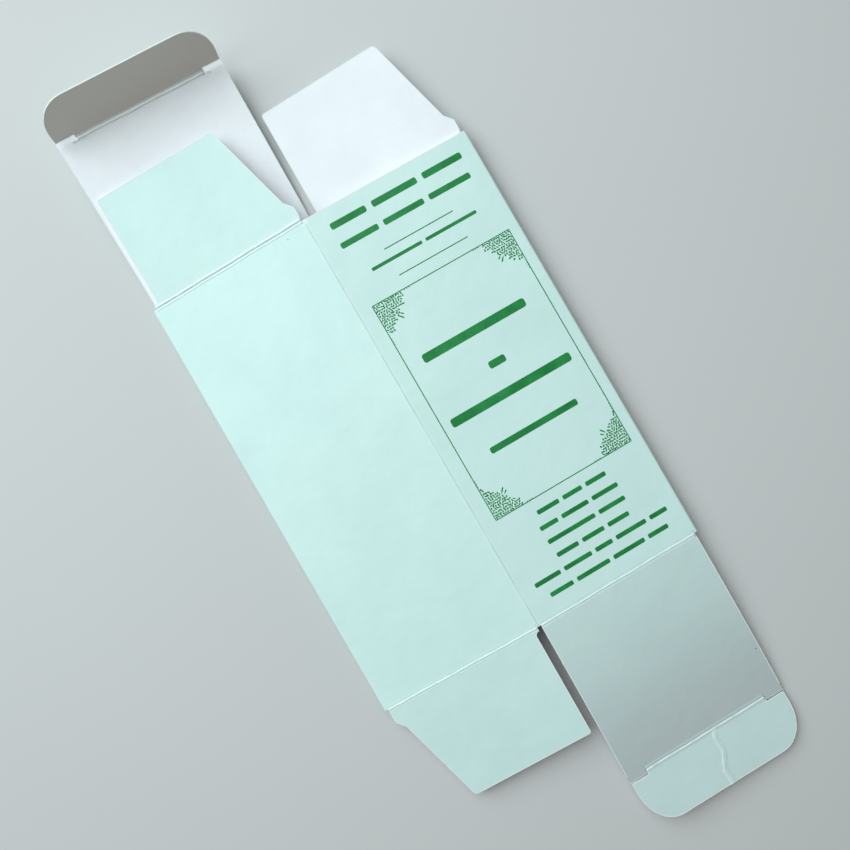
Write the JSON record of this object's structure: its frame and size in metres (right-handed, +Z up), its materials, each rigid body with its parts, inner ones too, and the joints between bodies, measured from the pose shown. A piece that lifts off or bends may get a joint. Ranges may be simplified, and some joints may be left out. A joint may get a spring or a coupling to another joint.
{
  "type": "flattened folding carton",
  "caption": "Flattened tuck-end folding carton of thin paperboard: a creased tube with a glued seam, and hinged lids, tuck tongues and dust flaps lying open at both ends.",
  "frame": {"origin": "centre of the bounding box in plan, at the level of the lowest point, which is the surface it lies on", "axes": "+X across the carton towards its printed front panel, +Y along the carton towards its top end, +Z up from the surface it lies on"},
  "size_m": [0.117, 0.2906, 0.0292],
  "materials": {
    "mint_board": "satin",
    "board_inside": "matte"
  },
  "bodies": {
    "sleeve": {"sleeve": "mint_board"},
    "top_lid": {"top_lid": "board_inside"},
    "top_tongue": {"top_tongue": "board_inside"},
    "top_left_dust_flap": {"top_left_dust_flap": "mint_board"},
    "top_right_dust_flap": {"top_right_dust_flap": "board_inside"},
    "bottom_lid": {"bottom_lid": "mint_board"},
    "bottom_tongue": {"bottom_tongue": "mint_board"},
    "bottom_left_dust_flap": {"bottom_left_dust_flap": "mint_board"},
    "bottom_right_dust_flap": {"bottom_right_dust_flap": "board_inside"}
  },
  "joints": [
    {"name": "top_lid_hinge", "type": "hinge", "parent": "sleeve", "child": "top_lid", "pos_m": [-0.05782, 0.08156, 0.0041], "axis": [0.9981, 0, -0.0621], "range_deg": [-170, 0]},
    {"name": "top_tongue_hinge", "type": "hinge", "parent": "top_lid", "child": "top_tongue", "pos_m": [-0.05726, 0.13937, 0.01312], "axis": [0.9939, 0.0052, -0.1101], "range_deg": [-60, 90]},
    {"name": "top_left_dust_hinge", "type": "hinge", "parent": "sleeve", "child": "top_left_dust_flap", "pos_m": [-0.05783, 0.08156, 0.00559], "axis": [0.9973, 0, 0.0732], "range_deg": [0, 140]},
    {"name": "top_right_dust_hinge", "type": "hinge", "parent": "sleeve", "child": "top_right_dust_flap", "pos_m": [0.00134, 0.08156, 0.00042], "axis": [0.9973, 0, 0.0732], "range_deg": [-15, 84]},
    {"name": "bottom_lid_hinge", "type": "hinge", "parent": "sleeve", "child": "bottom_lid", "pos_m": [0.05783, -0.06874, 0.00562], "axis": [-0.9976, 0, 0.0698], "range_deg": [0, 165]},
    {"name": "bottom_tongue_hinge", "type": "hinge", "parent": "bottom_lid", "child": "bottom_tongue", "pos_m": [0.05752, -0.12719, 0.00123], "axis": [-0.9976, 0, 0.0698], "range_deg": [-90, 20]},
    {"name": "bottom_left_dust_hinge", "type": "hinge", "parent": "sleeve", "child": "bottom_left_dust_flap", "pos_m": [-0.00134, -0.06874, 0.00929], "axis": [-0.9973, 0, -0.0732], "range_deg": [-80, 25]},
    {"name": "bottom_right_dust_hinge", "type": "hinge", "parent": "sleeve", "child": "bottom_right_dust_flap", "pos_m": [0.05783, -0.06874, 0.00412], "axis": [-0.9973, 0, -0.0732], "range_deg": [-165, 0]}
  ]
}
